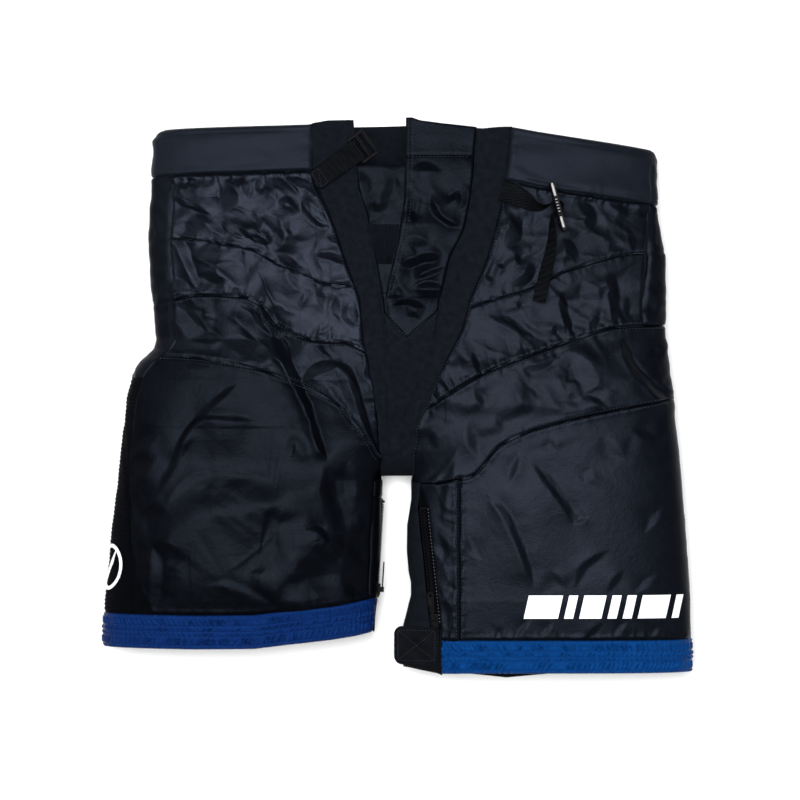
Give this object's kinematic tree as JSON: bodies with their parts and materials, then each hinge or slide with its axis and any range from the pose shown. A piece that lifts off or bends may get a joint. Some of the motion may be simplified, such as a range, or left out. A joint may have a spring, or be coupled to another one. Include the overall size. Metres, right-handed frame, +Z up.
{
  "type": "hockey pants",
  "caption": "Black hockey pants lying flat, with a fly flap, stretch strips, belt ends with buckles, inner thigh zips, blue quilted hems and inner pads.",
  "frame": {"origin": "centre of the footprint, on the surface that the pants lie on", "axes": "+X across the pants from the wearer's right leg to the left, +Y from the hems to the waist, +Z up out of the front"},
  "size_m": [0.5889, 0.558, 0.1019],
  "materials": {
    "nylon_shell": "crumpled woven nylon with a soft sheen",
    "stretch_knit": "matte stretch knit",
    "mesh": "ribbed mesh",
    "hem_blue": "puckered quilted fabric in blue",
    "webbing": "ribbed polyester webbing",
    "buckle_plastic": "gloss black moulded plastic",
    "pad_foam": "quilted cloth over foam",
    "guard_plastic": "satin moulded polyethylene",
    "zip_tape": "woven tape with moulded teeth",
    "zip_metal": "black enamelled metal",
    "print_white": "flat white transfer print"
  },
  "bodies": {
    "waist": {"waistband_right": "nylon_shell", "waistband_left": "nylon_shell", "waistband_back": "nylon_shell", "hip_panel_right": "nylon_shell", "hip_panel_left": "nylon_shell", "hip_side_right": "nylon_shell", "hip_side_left": "nylon_shell", "stretch_strip_right": "stretch_knit", "stretch_strip_left": "stretch_knit", "fly_underlap": "nylon_shell", "fly_elastic": "stretch_knit", "crotch_gusset_front": "stretch_knit", "crotch_gusset_back": "stretch_knit", "seat_panel_right": "nylon_shell", "seat_panel_left": "nylon_shell", "kidney_pad_right": "pad_foam", "kidney_pad_left": "pad_foam", "tailbone_pad": "pad_foam", "tailbone_cap": "guard_plastic", "hip_pad_right": "pad_foam", "hip_pad_left": "pad_foam", "hip_cap_right": "guard_plastic", "hip_cap_left": "guard_plastic"},
    "right_leg": {"thigh_yoke_right": "nylon_shell", "thigh_panel_right": "nylon_shell", "leg_side_right": "mesh", "leg_back_right": "nylon_shell", "inner_leg_right": "stretch_knit", "hem_band_right": "hem_blue", "hem_facing_right": "webbing", "thigh_foam_right": "pad_foam", "thigh_cap_right": "guard_plastic", "zip_right": "zip_tape"},
    "left_leg": {"thigh_yoke_left": "nylon_shell", "thigh_panel_left": "nylon_shell", "leg_side_left": "mesh", "leg_back_left": "nylon_shell", "inner_leg_left": "stretch_knit", "hem_band_left": "hem_blue", "hem_facing_left": "webbing", "thigh_foam_left": "pad_foam", "thigh_cap_left": "guard_plastic", "zip_left": "zip_tape"},
    "flap": {"fly_flap": "nylon_shell"},
    "right_loop": {"belt_loop_right": "webbing"},
    "right_buckle": {"buckle_right": "buckle_plastic"},
    "left_strap": {"belt_strap_left": "webbing"},
    "left_buckle": {"buckle_left": "buckle_plastic"},
    "right_slider": {"zip_slider_right": "zip_metal"},
    "left_slider": {"zip_slider_left": "zip_metal"},
    "right_pull": {"zip_pull_right": "zip_metal"},
    "left_pull": {"zip_pull_left": "zip_metal"},
    "right_tab": {"hem_tab_right": "webbing"},
    "left_tab": {"hem_tab_left": "webbing"}
  },
  "joints": [
    {"name": "right_hip_flex", "type": "hinge", "parent": "waist", "child": "right_leg", "pos_m": [0, 0.06, 0.08], "axis": [-1, 0, 0], "range_deg": [0, 30]},
    {"name": "left_hip_flex", "type": "hinge", "parent": "waist", "child": "left_leg", "pos_m": [0, 0.06, 0.08], "axis": [-1, 0, 0], "range_deg": [0, 30]},
    {"name": "fly_open", "type": "hinge", "parent": "waist", "child": "flap", "pos_m": [0.078, 0.262, 0.0706], "axis": [0.2095, 0.9759, -0.0611], "range_deg": [0, 100]},
    {"name": "right_loop_lift", "type": "hinge", "parent": "waist", "child": "right_loop", "pos_m": [-0.08231, 0.21591, 0.07305], "axis": [0.5878, -0.809, 0], "range_deg": [0, 70]},
    {"name": "right_buckle_turn", "type": "hinge", "parent": "right_loop", "child": "right_buckle", "pos_m": [-0.04105, 0.24589, 0.076], "axis": [0.5878, -0.809, 0], "range_deg": [0, 70]},
    {"name": "left_strap_lift", "type": "hinge", "parent": "waist", "child": "left_strap", "pos_m": [0.104, 0.206, 0.0742], "axis": [0, -1, 0], "range_deg": [0, 60]},
    {"name": "left_buckle_turn", "type": "hinge", "parent": "left_strap", "child": "left_buckle", "pos_m": [0.1575, 0.19, 0.0884], "axis": [0, 0, 1], "range_deg": [-12, 12]},
    {"name": "left_zip_slide", "type": "slide", "parent": "left_leg", "child": "left_slider", "axis": [-0.1046, 0.9936, -0.0436], "range_m": [0, 0.08]},
    {"name": "left_pull_swing", "type": "hinge", "parent": "left_slider", "child": "left_pull", "pos_m": [0.03488, -0.21859, 0.07752], "axis": [0.876, 0.1128, 0.469], "range_deg": [0, 120]},
    {"name": "right_zip_slide", "type": "slide", "parent": "right_leg", "child": "right_slider", "axis": [0.0597, 0.9982, 0], "range_m": [0, 0.058]},
    {"name": "right_pull_swing", "type": "hinge", "parent": "right_slider", "child": "right_pull", "pos_m": [-0.01578, -0.19083, 0.043], "axis": [0, 0, -1], "range_deg": [0, 85]},
    {"name": "left_tab_lift", "type": "hinge", "parent": "left_leg", "child": "left_tab", "pos_m": [0.041, -0.248, 0.0722], "axis": [0, 1, 0], "range_deg": [0, 110]},
    {"name": "right_tab_swing", "type": "hinge", "parent": "right_leg", "child": "right_tab", "pos_m": [-0.0184, -0.221, 0.056], "axis": [0, -1, 0], "range_deg": [0, 35]}
  ]
}
